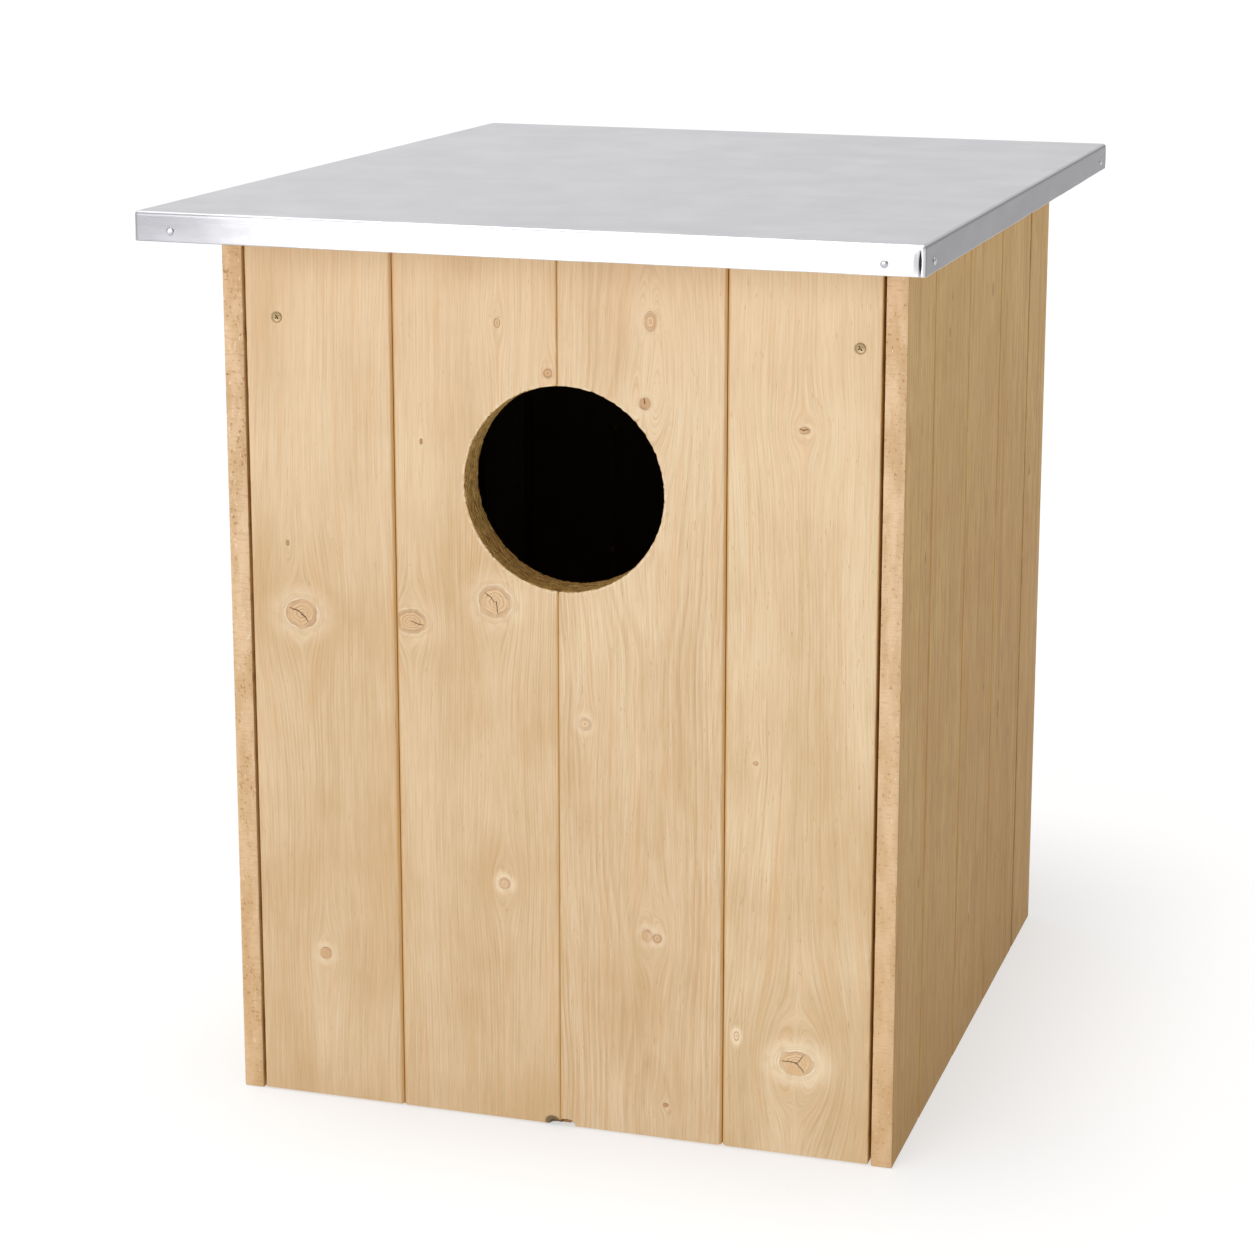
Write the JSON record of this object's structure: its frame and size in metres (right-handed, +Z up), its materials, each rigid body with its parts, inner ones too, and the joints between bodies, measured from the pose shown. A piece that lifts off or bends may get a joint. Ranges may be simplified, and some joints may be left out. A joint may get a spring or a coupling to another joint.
{
  "type": "birdhouse",
  "caption": "Large board-built nest box with a round entrance, an overhanging folded metal roof and a front panel that lifts off for cleaning.",
  "frame": {"origin": "middle of the underside of the floor", "axes": "+X to the viewer's right when facing the entrance, +Y from the front to the back, +Z up"},
  "size_m": [0.5146, 0.6755, 0.6213],
  "materials": {
    "pine_boards": "planed, unpainted, with knots",
    "pine_hidden_boards": "planed, unpainted",
    "pine_battens": "rough sawn",
    "beech_dowels": "turned, plain",
    "roof_metal": "matt mill finish, faintly mottled",
    "zinc_nails": "zinc plated, dull",
    "steel_fasteners": "bright wire, dull",
    "yellow_screws": "yellow zinc plated"
  },
  "bodies": {
    "box": {"back_bottom_rail": "pine_battens", "back_deck_screws": "steel_fasteners", "back_left_post": "pine_battens", "back_right_post": "pine_battens", "back_top_rail": "pine_battens", "back_wall_board_1": "pine_boards", "back_wall_board_2": "pine_boards", "back_wall_board_3": "pine_boards", "back_wall_board_4": "pine_boards", "back_wall_nails": "steel_fasteners", "floor_board_1": "pine_hidden_boards", "floor_board_2": "pine_hidden_boards", "floor_board_3": "pine_hidden_boards", "floor_board_4": "pine_hidden_boards", "floor_board_5": "pine_hidden_boards", "floor_nails": "steel_fasteners", "front_deck_screws": "steel_fasteners", "front_left_post": "pine_battens", "front_right_post": "pine_battens", "front_top_rail": "pine_battens", "left_bottom_rail": "pine_battens", "left_top_rail": "pine_battens", "left_wall_board_1": "pine_boards", "left_wall_board_2": "pine_boards", "left_wall_board_3": "pine_boards", "left_wall_board_4": "pine_boards", "left_wall_board_5": "pine_boards", "left_wall_nails": "steel_fasteners", "locating_dowels": "beech_dowels", "post_nails": "steel_fasteners", "right_bottom_rail": "pine_battens", "right_top_rail": "pine_battens", "right_wall_board_1": "pine_boards", "right_wall_board_2": "pine_boards", "right_wall_board_3": "pine_boards", "right_wall_board_4": "pine_boards", "right_wall_board_5": "pine_boards", "right_wall_nails": "steel_fasteners", "roof_board_1": "pine_hidden_boards", "roof_board_2": "pine_hidden_boards", "roof_board_3": "pine_hidden_boards", "roof_board_4": "pine_hidden_boards", "roof_board_5": "pine_hidden_boards", "roof_sheet": "roof_metal", "roof_sheet_nails": "zinc_nails"},
    "front_panel": {"front_board_1": "pine_boards", "front_board_2": "pine_boards", "front_board_3": "pine_boards", "front_board_4": "pine_boards", "front_cleat_bottom": "pine_battens", "front_cleat_middle": "pine_battens", "front_cleat_top": "pine_battens", "front_hole_plate": "pine_battens", "front_cleat_nails": "steel_fasteners"},
    "front_screw_left": {"front_screw_left": "yellow_screws"},
    "front_screw_right": {"front_screw_right": "yellow_screws"}
  },
  "joints": [
    {"name": "front_panel_slide", "type": "slide", "parent": "box", "child": "front_panel", "axis": [0, -1, 0], "range_m": [0, 0.25]},
    {"name": "front_screw_left_slide", "type": "slide", "parent": "front_panel", "child": "front_screw_left", "axis": [0, -1, 0], "range_m": [0, 0.05]},
    {"name": "front_screw_right_slide", "type": "slide", "parent": "front_panel", "child": "front_screw_right", "axis": [0, -1, 0], "range_m": [0, 0.05]}
  ]
}
